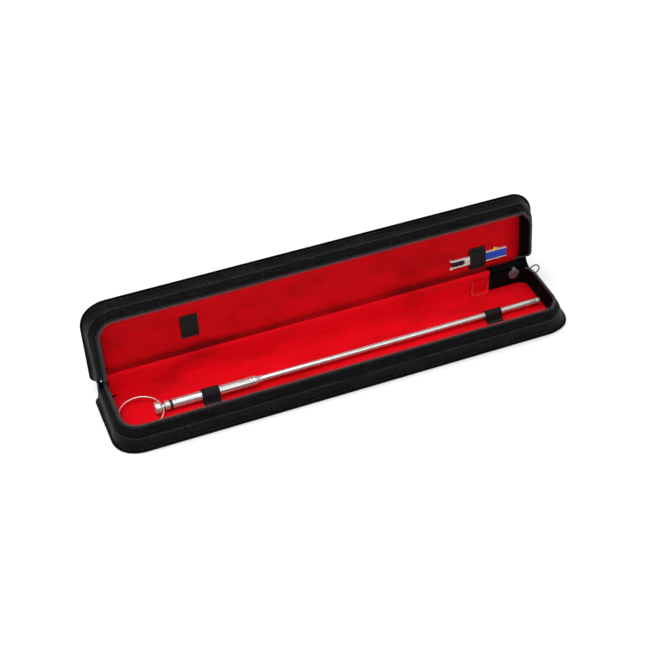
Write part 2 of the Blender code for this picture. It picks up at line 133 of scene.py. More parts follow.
def add_grid(bm, rows, wrap_rows=False, wrap_cols=False, cap_rows=False, cap_cols=False):
    """A skin over rows of points, optionally closed round either way or capped at its ends."""
    verts = [[bm.verts.new(point) for point in row] for row in rows]
    count, width = len(rows), len(rows[0])
    for i in range(count if wrap_rows else count - 1):
        for j in range(width if wrap_cols else width - 1):
            k, n = (j + 1) % width, (i + 1) % count
            bm.faces.new((verts[i][j], verts[i][k], verts[n][k], verts[n][j]))
    if cap_rows:
        bm.faces.new(verts[0])
        bm.faces.new(verts[-1])
    if cap_cols:
        bm.faces.new([row[0] for row in verts])
        bm.faces.new([row[-1] for row in verts])


def skin(name, rows, material, angle=40, **how):
    bm = bmesh.new()
    add_grid(bm, rows, **how)
    return finish_mesh(bm, name, material, angle)


def solidify(obj, thickness, offset=0):
    mod = obj.modifiers.new("thickness", "SOLIDIFY")
    mod.thickness = thickness
    mod.offset = offset
    return obj


def subdivide(obj, levels=1):
    mod = obj.modifiers.new("subdivision", "SUBSURF")
    mod.levels = levels
    mod.render_levels = levels
    return obj


def bevel(obj, width, segments=2):
    mod = obj.modifiers.new("bevel", "BEVEL")
    mod.width = width
    mod.segments = segments
    mod.limit_method = "ANGLE"
    mod.angle_limit = radians(40)
    return obj


def fixed(obj, body, slot, *nodes):
    """The piece rides on a body and stands for CAD nodes, which it hides. slot is not used."""
    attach(obj, body)
    if nodes:
        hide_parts(*nodes)
    return obj


def frames_along(points, up):
    """(point, tangent, side, up) at each point of a path."""
    result = []
    last = len(points) - 1
    for i, point in enumerate(points):
        tangent = (points[min(i + 1, last)] - points[max(i - 1, 0)]).normalized()
        side = tangent.cross(up[i] if isinstance(up, list) else up).normalized()
        result.append((point, tangent, side, side.cross(tangent).normalized()))
    return result


def tube(name, points, radius, material, closed=False, sides=10, up=Vector((0, 0, 1))):
    rows = []
    points = list(points)
    around = [points[-1], *points, points[0]] if closed else points
    framed = frames_along(around, up)
    if closed:
        framed = framed[1:-1]
    for point, _, side, top in framed:
        turns = [2 * pi * i / sides for i in range(sides)]
        rows.append([point + side * cos(a) * radius + top * sin(a) * radius for a in turns])
    return skin(name, rows, material, 60, wrap_rows=closed, wrap_cols=True, cap_rows=not closed)


def resample(points, spacing, extra=None):
    """Points at even spacing along a path, and with each a value interpolated from a matching list."""
    out, values = [], []
    travelled, target = 0.0, 0.0
    for i in range(len(points) - 1):
        a, b = points[i], points[i + 1]
        length = (b - a).length
        while length > 0 and target <= travelled + length:
            t = (target - travelled) / length
            out.append(a.lerp(b, t))
            if extra:
                values.append(extra[i].lerp(extra[i + 1], t))
            target += spacing
        travelled += length
    return (out, values) if extra else out


# ---------------------------------------------------------------- the case's plan


def plan_samples(step=STEP):
    """(point, outward normal) all round the case's plan, from the middle of its back wall, by the right end."""
    straight_x, straight_y = HALF_X - CORNER, HALF_Y - CORNER
    samples = []

    def line(start, end, normal):
        count = max(2, round((end - start).length / step))
        for i in range(count):
            samples.append((start.lerp(end, i / count), normal))

    def corner(centre, start, radius=CORNER):
        count = 12
        for i in range(count):
            a = radians(start - 90 * i / count)
            normal = Vector((cos(a), sin(a), 0))
            samples.append((centre + normal * radius, normal))

    line(Vector((0, HALF_Y, 0)), Vector((straight_x, HALF_Y, 0)), Vector((0, 1, 0)))
    corner(Vector((straight_x, straight_y, 0)), 90)
    line(Vector((HALF_X, straight_y, 0)), Vector((HALF_X, -straight_y, 0)), Vector((1, 0, 0)))
    corner(Vector((straight_x, -straight_y, 0)), 0)
    line(Vector((straight_x, -HALF_Y, 0)), Vector((-straight_x, -HALF_Y, 0)), Vector((0, -1, 0)))
    corner(Vector((-straight_x, -straight_y, 0)), -90)
    line(Vector((-HALF_X, -straight_y, 0)), Vector((-HALF_X, HALF_Y - TIGHT_CORNER, 0)), Vector((-1, 0, 0)))
    corner(Vector((TIGHT_CORNER - HALF_X, HALF_Y - TIGHT_CORNER, 0)), -180, TIGHT_CORNER)
    line(Vector((TIGHT_CORNER - HALF_X, HALF_Y, 0)), Vector((0, HALF_Y, 0)), Vector((0, 1, 0)))
    return samples


PLAN = plan_samples()


# (is the lid, is the right end): how far the end wall's foot and rim lean inwards, in millimetres
LEANS = {(False, False): (-2.5, 0.5), (False, True): (-6, 5.5), (True, False): (-2.5, 0.5), (True, True): (0, 10)}


class Half:
    """One half of the case, which places points given by plan sample, inset and depth above its panel's outside."""

    def __init__(self, name, body, is_lid):
        self.name, self.body, self.is_lid = name, body, is_lid

    def wall_height(self, point):
        """The lid's end walls taper to nothing towards the fold."""
        if not self.is_lid:
            return 1
        start, end = (27 * MM, 45 * MM) if point.x < 0 else (12 * MM, 40 * MM)
        return 1 - smooth((point.y - start) / (end - start))

    def lean(self, point, normal, depth):
        """How far an end wall leans inwards at a depth: its foot spreads and its rim is drawn in."""
        end = smooth(abs(normal.x) * 1.3) * smooth((abs(point.x) - 200 * MM) / (45 * MM))
        foot, rim = LEANS[self.is_lid, point.x > 0]
        return end * mix(foot, rim, min(depth / RIM, 1)) * MM

    def at(self, sample, inset, depth):
        point, normal = sample
        if depth > 21 * MM and point.x > 0:
            inset *= 1 - 0.45 * abs(normal.x)
        place = point - normal * inset
        place.x -= self.lean(point, normal, depth) * (1 if point.x > 0 else -1)
        if not self.is_lid:
            return Vector((place.x, place.y, depth))
        if depth > PANEL:
            depth = PANEL + (depth - PANEL) * self.wall_height(point)
        return OPEN @ Vector((place.x, place.y, 2 * MID - depth))

    def up(self):
        return Vector((0, 0, 1)) if not self.is_lid else (OPEN.to_3x3() @ Vector((0, 0, -1)))

    def turn(self):
        """The half's own turn: none for the base, the open lid's for the lid."""
        return OPEN.to_3x3() if self.is_lid else Matrix.Identity(3)

    def rim_run(self, back):
        """The plan's samples in front of a line at back, from the right end round to the left end."""
        return [sample for sample in PLAN if sample[0].y < back]


BASE = Half("base", "base", False)
LID = Half("lid", "lid", True)

# ---------------------------------------------------------------- materials


class Nodes:
    """A short way to build a material's nodes."""

    def __init__(self, name, roughness, metallic=0.0, **sockets):
        self.material = bpy.data.materials.new(name)
        self.material.use_nodes = True
        self.tree = self.material.node_tree
        self.shader = self.tree.nodes["Principled BSDF"]
        self.set(self.shader, Roughness=roughness, Metallic=metallic)
        for socket, value in sockets.items():
            self.shader.inputs[socket.replace("_", " ")].default_value = value
        self.place = self.add("ShaderNodeTexCoord").outputs["Object"]

    def add(self, kind, **values):
        node = self.tree.nodes.new(kind)
        self.set(node, **values)
        return node

    def set(self, node, **values):
        for key, value in values.items():
            node.inputs[key].default_value = value

    def link(self, source, target):
        self.tree.links.new(source, target)

    def math(self, operation, *values):
        node = self.tree.nodes.new("ShaderNodeMath")
        node.operation = operation
        for socket, value in zip(node.inputs, values):
            if isinstance(value, (int, float)):
                socket.default_value = value
            else:
                self.link(value, socket)
        return node.outputs[0]

    def stretched(self, scale):
        mapping = self.add("ShaderNodeMapping", Scale=scale)
        self.link(self.place, mapping.inputs["Vector"])
        return mapping.outputs["Vector"]

    def noise(self, scale, detail=3.0, roughness=0.55, stretch=None):
        node = self.add("ShaderNodeTexNoise", Scale=scale, Detail=detail, Roughness=roughness)
        self.link(self.stretched(stretch) if stretch else self.place, node.inputs["Vector"])
        return node.outputs["Fac"]

    def wave(self, direction, pitch):
        """A sine from 0 to 1 across planes square to a direction, a pitch apart."""
        dot = self.tree.nodes.new("ShaderNodeVectorMath")
        dot.operation = "DOT_PRODUCT"
        self.link(self.place, dot.inputs[0])
        dot.inputs[1].default_value = [value * 2 * pi / pitch for value in direction]
        return self.math("MULTIPLY_ADD", self.math("SINE", dot.outputs["Value"]), 0.5, 0.5)

    def ramp(self, factor, stops):
        node = self.tree.nodes.new("ShaderNodeValToRGB")
        elements = node.color_ramp.elements
        elements[0].position, elements[0].color = stops[0][0], (*stops[0][1], 1)
        elements[1].position, elements[1].color = stops[-1][0], (*stops[-1][1], 1)
        for position, colour in stops[1:-1]:
            elements.new(position).color = (*colour, 1)
        self.link(factor, node.inputs["Fac"])
        return node.outputs["Color"]

    def colour(self, factor, *stops):
        self.link(self.ramp(factor, stops), self.shader.inputs["Base Color"])

    def rough(self, factor, low, high):
        node = self.tree.nodes.new("ShaderNodeMapRange")
        self.link(factor, node.inputs["Value"])
        self.set(node, **{"To Min": low, "To Max": high})
        self.link(node.outputs["Result"], self.shader.inputs["Roughness"])

    def bump(self, height, distance, strength=1.0):
        """Adds a bump in metres on top of any earlier one."""
        node = self.add("ShaderNodeBump", Distance=distance, Strength=strength)
        self.link(height, node.inputs["Height"])
        earlier = self.shader.inputs["Normal"].links
        if earlier:
            self.link(earlier[0].from_socket, node.inputs["Normal"])
        self.link(node.outputs["Normal"], self.shader.inputs["Normal"])


def weave(nodes, pitch):
    """A plain weave: two skewed sets of threads that cross on every face of the case."""
    warp = nodes.wave((1, 0.55, 0.6), pitch)
    weft = nodes.wave((-0.35, 1, -1.1), pitch)
    return nodes.math("MAXIMUM", warp, weft)


def nylon_material():
    nodes = Nodes("black_nylon", 0.5, Specular_IOR_Level=0.06)
    threads = weave(nodes, 0.9 * MM)
    patchy = nodes.noise(45, 4)
    slubs = nodes.noise(420, 4, 0.7, stretch=(0.7, 1, 1.6))
    mottle_and_highlight_specks = nodes.math("MULTIPLY", slubs, nodes.math("MULTIPLY_ADD", patchy, 0.6, 0.7))
    # Painted highlight: the lightest specks stand in for glints on the black cloth; the darker tones are the cloth's
    # own uneven colour.
    dark, middle, light = (0.0006, 0.0006, 0.0007), (0.002, 0.002, 0.0022), (0.02, 0.02, 0.021)
    nodes.colour(mottle_and_highlight_specks, (0.4, dark), (0.56, middle), (0.72, light))
    nodes.rough(slubs, 0.4, 0.6)
    nodes.bump(threads, 0.12 * MM, 0.8)
    nodes.bump(slubs, 0.9 * MM, 0.7)
    nodes.bump(nodes.noise(110, 3), 0.9 * MM, 0.5)
    return nodes.material


def inner_black_material():
    """The softer black cloth inside the walls and on the zip's tapes, ribbed along its length."""
    nodes = Nodes("black_tape", 0.6, Specular_IOR_Level=0.06)
    ribs = nodes.wave((1, 1, 0.2), 1.3 * MM)
    patchy = nodes.noise(240, 4)
    nodes.colour(patchy, (0.4, (0.0006, 0.0006, 0.0007)), (0.7, (0.006, 0.006, 0.0063)))
    nodes.rough(patchy, 0.55, 0.8)
    nodes.bump(ribs, 0.15 * MM, 0.7)
    nodes.bump(nodes.noise(220, 3), 0.4 * MM, 0.5)
    return nodes.material


def velour_material(name, dark, middle, light, painted_crease_shade=None):
    """Short-piled red lining, with the pile brushed one way or the other in patches.

    The last argument, a pair of heights, paints shade along the crease: between them the colour goes from dark to
    its own."""
    nodes = Nodes(name, 0.85, Sheen_Weight=0.06, Sheen_Roughness=0.35, Sheen_Tint=(1, 0.02, 0.03, 1))
    nodes.set(nodes.shader, **{"Specular IOR Level": 0.12})
    brushed = nodes.noise(14, 5, 0.6, stretch=(1, 2.2, 2.2))
    fibres = nodes.noise(1500, 3, 0.7)
    mixed = nodes.math("MULTIPLY_ADD", fibres, 0.25, nodes.math("MULTIPLY", brushed, 0.75))
    # Painted shade: low down by the crease the colour is darkened, fading out between the two heights.
    if painted_crease_shade:
        low, high = painted_crease_shade
        height = nodes.add("ShaderNodeSeparateXYZ")
        nodes.link(nodes.place, height.inputs["Vector"])
        rise = nodes.math("MULTIPLY_ADD", height.outputs["Z"], 1 / (high - low), -low / (high - low))
        rise.node.use_clamp = True
        mixed = nodes.math("MULTIPLY", mixed, nodes.math("MULTIPLY_ADD", rise, PAINTED_CREASE_SHADE, 1 - PAINTED_CREASE_SHADE))
    nodes.colour(mixed, (0.22, [value * 0.3 for value in dark]), (0.36, dark), (0.5, middle), (0.72, light))
    nodes.bump(fibres, 0.25 * MM, 0.6)
    nodes.bump(nodes.noise(70, 4), 0.6 * MM, 0.4)
    return nodes.material


def elastic_material():
    nodes = Nodes("ribbed_elastic", 0.6, Specular_IOR_Level=0.2)
    cross = nodes.wave((0, 1, 1), 0.8 * MM)
    ribs = nodes.wave((1, 0, 0), 2.2 * MM)
    # Painted shade and highlight: dark and light stripes along the ribs stand in for how the ribs catch light.
    nodes.colour(ribs, (0.1, (0.0005, 0.0005, 0.0005)), (0.9, (0.02, 0.02, 0.021)))
    nodes.rough(nodes.noise(300), 0.55, 0.8)
    nodes.bump(cross, 0.15 * MM, 0.8)
    return nodes.material


def thread_material(name, colour):
    nodes = Nodes(name, 0.55, Sheen_Weight=0.2)
    ply = nodes.wave((1, 1, 1), 0.5 * MM)
    # Painted shade: the thread is darker in the grooves between its plies, where the bump is low.
    nodes.colour(ply, (0.0, [value * 0.6 for value in colour]), (1.0, colour))
    nodes.bump(ply, 0.05 * MM, 0.6)
    return nodes.material


def coil_material():
    nodes = Nodes("zip_teeth", 0.25, Specular_IOR_Level=0.7)
    grime = nodes.noise(500, 3)
    nodes.colour(grime, (0.3, (0.01, 0.01, 0.0105)), (0.7, (0.035, 0.035, 0.037)))
    nodes.rough(grime, 0.25, 0.45)
    return nodes.material


def steel_material(name, light, low, high, lengthways=False):
    """Brushed steel: fine scratches round the stick, or along it."""
    nodes = Nodes(name, low, 0.72)
    stretch = (0.04, 1, 1) if lengthways else (1, 0.06, 0.06)
    scratches = nodes.noise(5200, 2, 0.6, stretch=stretch)
    smudges = nodes.noise(120, 4)
    shade = nodes.math("ADD", nodes.math("MULTIPLY", scratches, 0.5), nodes.math("MULTIPLY", smudges, 0.5))
    tones = [light * 0.92, light, light * 1.06]
    nodes.colour(shade, *[(at, (tone, tone * 0.99, tone * 0.965)) for at, tone in zip((0.35, 0.5, 0.65), tones)])
    nodes.rough(shade, low, high)
    nodes.bump(scratches, 0.002 * MM, 0.2)
    return nodes.material


def rubber_material():
    nodes = Nodes("black_rubber", 0.45)
    grain = nodes.noise(2500, 2)
    nodes.colour(grain, (0.3, (0.004, 0.004, 0.004)), (0.7, (0.012, 0.012, 0.012)))
    nodes.rough(grain, 0.4, 0.6)
    nodes.bump(grain, 0.03 * MM, 0.5)
    return nodes.material


def gunmetal_material(name, dark, mid, light):
    nodes = Nodes(name, 0.3, 0.55)
    worn = nodes.noise(420, 4, 0.65)
    stops = (0.35, (dark, dark, dark * 1.08)), (0.55, (mid, mid, mid * 1.06)), (0.72, (light, light, light))
    nodes.colour(worn, *stops)
    nodes.rough(worn, 0.25, 0.5)
    nodes.bump(worn, 0.05 * MM, 0.4)
    return nodes.material


def plastic_material(name, colour, roughness=0.3):
    nodes = Nodes(name, roughness, Coat_Weight=0.2, Coat_Roughness=0.15)
    flow = nodes.noise(260, 3)
    nodes.colour(flow, (0.3, [value * 0.86 for value in colour]), (0.7, colour))
    nodes.rough(flow, roughness * 0.8, roughness * 1.3)
    nodes.bump(nodes.noise(1800, 2), 0.02 * MM, 0.4)
    return nodes.material


NYLON = nylon_material()
TAPE_CLOTH = inner_black_material()
RED_FLOOR = velour_material("red_lining", (0.52, 0.0, 0.003), (0.72, 0.0, 0.006), (0.86, 0.0005, 0.01))
# The lid's lining is the floor's red velour made darker: painted shade for the upright lid, which takes less light.
RED_LID_PAINTED_SHADE = velour_material(
    "red_lid_lining_painted_shade", (0.44, 0.0, 0.002), (0.6, 0.0, 0.004), (0.74, 0.0, 0.007), painted_crease_shade=(31 * MM, 42 * MM)
)
ELASTIC = elastic_material()
BLACK_THREAD = thread_material("black_thread", (0.014, 0.014, 0.015))
RED_THREAD = thread_material("red_thread", (0.85, 0.12, 0.12))
TEETH = coil_material()
STEEL = steel_material("turned_steel", 0.74, 0.2, 0.34)
ROD_STEEL = steel_material("rod_steel", 0.74, 0.2, 0.34, lengthways=True)
WIRE_STEEL = steel_material("ring_steel", 0.84, 0.2, 0.3)
RUBBER = rubber_material()
GUNMETAL = gunmetal_material("gunmetal", 0.09, 0.17, 0.42)
DARK_WIRE = gunmetal_material("dark_wire", 0.012, 0.025, 0.09)
WHITE = plastic_material("white_plastic", (0.8, 0.8, 0.78))
BLACK = plastic_material("black_plastic", (0.01, 0.01, 0.011))
BLUE = plastic_material("blue_plastic", (0.02, 0.07, 0.5))
YELLOW = plastic_material("yellow_plastic", (0.85, 0.55, 0.02))

# ---------------------------------------------------------------- soft case


def lumps(place, scale, amount):
    """Smooth unevenness, the same each run, from -amount to amount."""
    return noise.noise(Vector(place) * scale) * amount


def body_profile(back):
    """(inset, depth) round one half's wall: out along the panel, up the outside, over and down the inside.

    back is 1 on the hinged side, where the inside is plain and upright, and 0 elsewhere.
    """
    profile = [(9, 0), (4, 0.02), (1.2, 0.25), (0.2, 0.8), (-0.1, 1.8), (0.3, 3.4), (0.2, 7), (0.1, 10)]
    profile += [(0.0, 13.5), (-0.1, 17), (-0.1, 19.4), (0.1, 20.8), (0.5, 21.7), (1.2, 22.2), (1.7, 23.2)]
    profile += [(2.6, 24.8), (3.6, 26.2), (4.6, 26.8), (mix(5.2, 4.2, back), 23), (mix(7.4, 4.3, back), 17)]
    profile += [(mix(9.8, 4.4, back), 11), (mix(12, 4.5, back), 6.6), (mix(13.4, 4.7, back), 5.0)]
    profile += [(mix(15, 6, back), 4.6)]
    return [(inset * MM, depth * MM) for inset, depth in profile]


def make_body(half):
    """The outer cloth, the padded wall and the inner cloth of one half, closed across the panel."""
    columns = []
    for sample in PLAN:
        point, _ = sample
        back = smooth((point.y - 24 * MM) / (16 * MM))
        column = []
        for i, (inset, depth) in enumerate(body_profile(back)):
            if 3 < i < 14:
                sag = 0.5 * MM * sin(pi * depth / RIM)
                inset += sag + lumps((point.x, point.y, depth + half.is_lid), 28, 1.3 * MM)
                inset += lumps((point.x * 2.5, point.y * 2.5, depth * 6), 30, 0.6 * MM)
                inset = max(inset, -0.5 * MM)
            if 16 < i < 22:
                inset += lumps((point.x, point.y, depth + 3), 35, 0.8 * MM) * (1 - back)
            column.append(half.at(sample, inset, max(depth, 0)))
        columns.append(column)
    rows = [list(row) for row in zip(*columns)]
    obj = skin(f"{half.name}_body", rows, NYLON, 60, wrap_cols=True, cap_rows=True)
    obj.data.materials.append(TAPE_CLOTH)
    wall_rows = len(rows) - 8
    width = len(PLAN)
    for index, face in enumerate(obj.data.polygons):
        if index // width >= wall_rows and index < width * (len(rows) - 1):
            face.material_index = 1
    return fixed(obj, half.body, "nylon", f"{half.name}_shell")


def make_piping(half):
    points = [half.at(sample, PIPING_INSET, PIPING_DEPTH) for sample in PLAN]
    obj = tube(f"{half.name}_piping_cord", points, PIPING_R, NYLON, closed=True, sides=10, up=half.up())
    return fixed(obj, half.body, "nylon", f"{half.name}_piping")


def stitches(name, points, outwards, material, length=2.3 * MM, gap=1.3 * MM, radius=0.28 * MM):
    """A row of separate sewn stitches along a path, each a little sunken at its ends."""
    bm = bmesh.new()
    spots, outs = resample(points, length + gap, outwards)
    for i in range(len(spots) - 1):
        along = (spots[i + 1] - spots[i]).normalized()
        out = outs[i].normalized()
        side = along.cross(out).normalized()
        rows = []
        for t in (0, 0.2, 0.5, 0.8, 1):
            swell = sin(pi * mix(0.12, 0.88, t))
            centre = spots[i] + along * (t * length) + out * (radius * (1.6 * swell - 1.1))
            ring = []
            for k in range(6):
                a = 2 * pi * k / 6
                ring.append(centre + (side * cos(a) * 1.15 + out * sin(a)) * radius * swell)
            rows.append(ring)
        add_grid(bm, rows, wrap_cols=True, cap_rows=True)
    return finish_mesh(bm, name, material, 70)


def wall_stitches(half, name, inset, depth, back):
    run = half.rim_run(back)
    points = [half.at(sample, inset, depth) for sample in run]
    turn = half.turn()
    outs = [turn @ sample[1] for sample in run]
    return fixed(stitches(name, points, outs, BLACK_THREAD), half.body, "nylon")


def make_tape(half):
    """The zip's tape: a thin woven band that leans in from the wall's rim to the teeth, and a sewn edge."""
    run = half.rim_run(TAPE_BACK)
    section = [(1.0, 22.7), (1.6, 24.0), (2.6, 25.6), (3.8, 27.0), (5.2, 28.2), (6.4, 29.1), (7.0, 29.4)]
    rows = []
    for inset, depth in section:
        inset, depth, row = inset * MM, depth * MM, []
        for sample in run:
            wave = lumps((sample[0].x, sample[0].y, inset * 30), 40, 0.4 * MM)
            row.append(half.at(sample, inset, depth + wave * (inset / (7 * MM))))
        rows.append(row)
    obj = skin(f"{half.name}_zip_band", rows, TAPE_CLOTH, 60)
    solidify(obj, TAPE_CLOTH_THICK)
    fixed(obj, half.body, "nylon", f"{half.name}_zip_tape")
    points = [half.at(sample, 5.0 * MM, 28.75 * MM) for sample in run]
    turn = half.turn()
    outs = [half.up() + turn @ sample[1] for sample in run]
    fixed(stitches(f"{half.name}_tape_stitches", points, outs, BLACK_THREAD), half.body, "nylon")


def make_coil(half):
    """The zip's teeth: one wire wound in a flattened coil along the tape's edge."""
    run = half.rim_run(TAPE_BACK)
    centres = [half.at(sample, COIL_INSET, COIL_DEPTH) for sample in run]
    turn = half.turn()
    inwards = [turn @ -sample[1] for sample in run]
    pitch, steps, sides = 2.3 * MM, 8, 6
    spots, ins = resample(centres, pitch / steps, inwards)
    up = half.up()
    wire = []
    for i, (spot, inward) in enumerate(zip(spots, ins)):
        a = 2 * pi * (i % steps) / steps
        wire.append(spot + inward.normalized() * cos(a) * 1.4 * MM + up * sin(a) * 0.9 * MM)
    obj = tube(f"{half.name}_teeth", wire, 0.5 * MM, TEETH, sides=sides, up=up)
    fixed(obj, half.body, "zip_coil", f"{half.name}_zip_coil")


# ---------------------------------------------------------------- linings


def rounded_panel(x_low, x_high, y_low, y_high, radius, back_radius, step=6 * MM):
    """Rows of (x, y) that fill a rounded rectangle, as a grid that narrows towards its rounded ends."""
    rows = []
    count_y = 22
    for j in range(count_y + 1):
        y = mix(y_low, y_high, j / count_y)
        cut = 0
        for edge, corner in ((y_low, radius), (y_high, back_radius)):
            away = abs(y - edge)
            if away < corner:
                cut = max(cut, corner - (corner**2 - (corner - away) ** 2) ** 0.5)
        count_x = round((x_high - x_low) / step)
        rows.append([(mix(x_low + cut, x_high - cut, i / count_x), y) for i in range(count_x + 1)])
    return rows


def lining_height(x, y, edge, seed):
    """The padded lining's rise over its bed: soft folds, and edges tucked down under the walls."""
    tuck = smooth(edge / (6 * MM))
    folds = lumps((x * 0.6, y * 1.6, seed), 22, 0.7 * MM) + lumps((x * 1.6, y * 2.4, seed + 5), 40, 0.3 * MM)
    return tuck * (0.9 * MM + folds)


def make_lining(name, half, material, y_low, y_high, x_high, depth, seed, node):
    """A thin padded lining on a half's panel, from a grid of the panel's own shape."""
    rows = []
    for line in rounded_panel(RED_LEFT + MM, x_high, y_low, y_high, 14 * MM, 8 * MM):
        row = []
        for i, (x, y) in enumerate(line):
            edge = min(x - line[0][0], line[-1][0] - x, y - y_low, y_high - y)
            rise = depth + lining_height(x, y, edge, seed)
            spot = Vector((x, y, rise))
            row.append(spot if not half.is_lid else OPEN @ Vector((x, y, 2 * MID - rise)))
        rows.append(row)
    obj = skin(name, rows, material, 80)
    solidify(obj, 1.2 * MM)
    subdivide(obj)
    fixed(obj, half.body, "lining", node)


def make_linings():
    front, depth = -(HALF_Y - 11 * MM), 5.0 * MM
    make_lining("floor_lining", BASE, RED_FLOOR, front, 39.4 * MM, RED_RIGHT, depth, 1, "base_lining")
    make_lining("lid_panel_lining", LID, RED_LID_PAINTED_SHADE, front, 36.5 * MM, 236.5 * MM, depth, 7, "lid_lining")


def fold_line(x):
    """How far the crease wanders along the case."""
    return lumps((x, 0.3, 0.7), 12, 0.9 * MM)


def make_back_lining():
    """The red facing of the back wall, soft and slightly puckered, from the floor to the fold."""
    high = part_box("back_lining")[1]
    count = 90
    rows = []
    roll = [(5.6, 38.2), (6.4, 39.1), (8, 39.6), (12, 39.8), (17, 39.9), (22, 40.0), (26, 40.1), (28.8, 40.3),
            (30.4, 40.9), (31.2, 42), (31.2, 43.1), (30.4, 44)]
    for z, y in roll:
        row = []
        for i in range(count + 1):
            x = mix(RED_LEFT, high.x - 1.5 * MM, i / count)
            pucker = lumps((x, z * MM, 2), 26, 0.7 * MM) + lumps((x * 2, z * MM, 9), 40, 0.25 * MM)
            row.append(Vector((x, y * MM + pucker * sin(pi * min((z - 5) / 28, 1)), z * MM)))
        rows.append(row)
    obj = skin("back_wall_lining", rows, RED_FLOOR, 80)
    solidify(obj, 1.0 * MM)
    subdivide(obj)
    fixed(obj, "base", "lining", "back_lining")


def strip_across_fold(name, section, x_low, x_high, material, node):
    """Cloth that crosses the fold: a (y, z) section in millimetres carried along X."""
    count = round((x_high - x_low) / (5 * MM))
    rows = []
    for k, (y, z) in enumerate(section):
        row = []
        for i in range(count + 1):
            x = mix(x_low, x_high, i / count)
            free = sin(pi * k / (len(section) - 1))
            wander = fold_line(x) * free
            row.append(Vector((x, y * MM + wander * 0.5, z * MM + wander)))
        rows.append(row)
    obj = skin(name, rows, material, 80)
    solidify(obj, 0.9 * MM)
    subdivide(obj)
    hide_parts(node)
    return obj


def make_fold():
    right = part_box("lining_fold")[1].x - 1.5 * MM
    section = [(42.4, 28.6), (43.0, 30.0), (43.9, 30.3), (45.0, 29.7),
               (46.2, 29.1), (47.3, 29.4), (48.1, 30.8), (48.8, 33.2)]
    red = strip_across_fold("red_fold", section, RED_LEFT, right, RED_LID_PAINTED_SHADE, "lining_fold")
    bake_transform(red)
    section = [(44.9, 26.4), (45.3, 24.8), (45.7, 23), (46.2, 21.4),
               (47, 20.2), (48, 19.8), (49, 20), (50, 20.8), (50.8, 22)]
    left, right = TIGHT_CORNER - HALF_X, HALF_X - CORNER
    spine = strip_across_fold("spine_cloth", section, left, right, NYLON, "spine_strip")
    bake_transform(spine)


def make_end_cloths():
    """Black cloth that carries on past the red fold to each end, over the back wall's rim."""
    section = [(40.8, 28.9), (42.2, 29.5), (44, 29.9), (45.8, 30.1), (47.3, 30.6), (48.6, 31.9), (49.6, 33.8)]
    red_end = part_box("lining_fold")[1].x
    left = ("left", 3 * MM - HALF_X, RED_LEFT + 2 * MM, 10.5 * MM)
    right = ("right", red_end - 3 * MM, HALF_X - 9 * MM, 46.3 * MM)
    for side, x_low, x_high, cut in (left, right):
        count = max(6, round((x_high - x_low) / (4 * MM)))
        across = [mix(x_low, x_high, i / count) for i in range(count + 1)]
        rows = [[Vector((x, y * MM, z * MM)) for x in across] for y, z in section]
        obj = skin(f"fold_end_cloth_{side}", rows, TAPE_CLOTH, 80)
        solidify(obj, TAPE_CLOTH_THICK)
        subdivide(obj)
        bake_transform(obj)


def make_gusset(side, sign):
    """The soft corner between the two halves' end walls, pinched in where it folds."""
    is_right = sign > 0
    start, inset, depth, pinch = (25 * MM, 2.0 * MM, 23 * MM, 1) if is_right else (28 * MM, 0.5 * MM, 20 * MM, 0.4)
    base_run = [s for s in PLAN if s[0].x * sign > HALF_X - CORNER and start <= s[0].y < 44.9 * MM]
    base_run.sort(key=lambda s: s[0].y)
    rows = []
    steps = 10
    for i, sample in enumerate(base_run):
        share = i / (len(base_run) - 1)
        low = BASE.at(sample, inset, depth)
        high = LID.at(sample, inset, depth)
        row = []
        for k in range(steps + 1):
            t = k / steps
            spot = low.lerp(high, t)
            tuck = sin(pi * t) * mix(2.5, 1.0, share) * MM * pinch
            spot.x -= sign * tuck
            row.append(spot)
        rows.append(row)
    obj = skin(f"fold_gusset_{side}", rows, NYLON, 80)
    solidify(obj, 1.0 * MM)
    subdivide(obj)
    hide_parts(f"hinge_gusset_{side}")
    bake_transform(obj)


def make_patches():
    """The sewn patch where the tape's end is covered in red, and the zip's black end piece beside it."""
    low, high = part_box("sewn_patch")
    x0, x1 = low.x, high.x
    section = [(37.6, 24.6), (38.0, 20), (38.1, 15), (37.9, 10), (37.2, 7.6), (35.2, 6.9), (31.5, 6.7)]
    rows = []
    for k, (y, z) in enumerate(section):
        row = []
        for i in range(13):
            t = i / 12
            x = mix(x0, x1, t)
            dip = 0.35 * MM * (1 - sin(pi * t)) * (k < 5)
            row.append(Vector((x, y * MM + dip + lumps((x, k * 0.01, 4), 90, 0.35 * MM), z * MM)))
        rows.append(row)
    patch = skin("red_sewn_patch", rows, RED_FLOOR, 80)
    solidify(patch, 0.9 * MM)
    subdivide(patch)
    fixed(patch, "base", "lining", "sewn_patch")
    inset = 1.6 * MM
    y = low.y - 0.15 * MM
    path = [Vector((x0 + inset, y, z * MM)) for z in (24, 19, 13, 8.4)]
    path += [Vector((x, 34.6 * MM, 7.5 * MM)) for x in (x0 + 2.5 * MM, mix(x0, x1, 0.5), x1 - 2.5 * MM)]
    path += [Vector((x1 - inset, y, z * MM)) for z in (8.4, 13, 19, 24)]
    outs = [Vector((0, -1, 0.25))] * len(path)
    thread = stitches("patch_stitches", path, outs, RED_THREAD, 2.0 * MM, 1.2 * MM, 0.3 * MM)
    fixed(thread, "base", "lining")
    low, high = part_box("zip_end_patch")
    rows = []
    for z, dy in ((6.4, 0), (9, -0.3), (13, -0.5), (18, -0.4), (22, -0.2), (26.4, 0.3)):
        row = []
        for i in range(11):
            x = mix(low.x - 2.5 * MM, high.x + 0.8 * MM, i / 10)
            row.append(Vector((x, 39.0 * MM + dy * MM + lumps((x, z * MM, 6), 70, 0.4 * MM), z * MM)))
        rows.append(row)
    end_piece = skin("zip_end_cloth", rows, TAPE_CLOTH, 80)
    solidify(end_piece, 0.9 * MM)
    subdivide(end_piece)
    fixed(end_piece, "base", "nylon", "zip_end_patch")


# ---------------------------------------------------------------- elastic loops


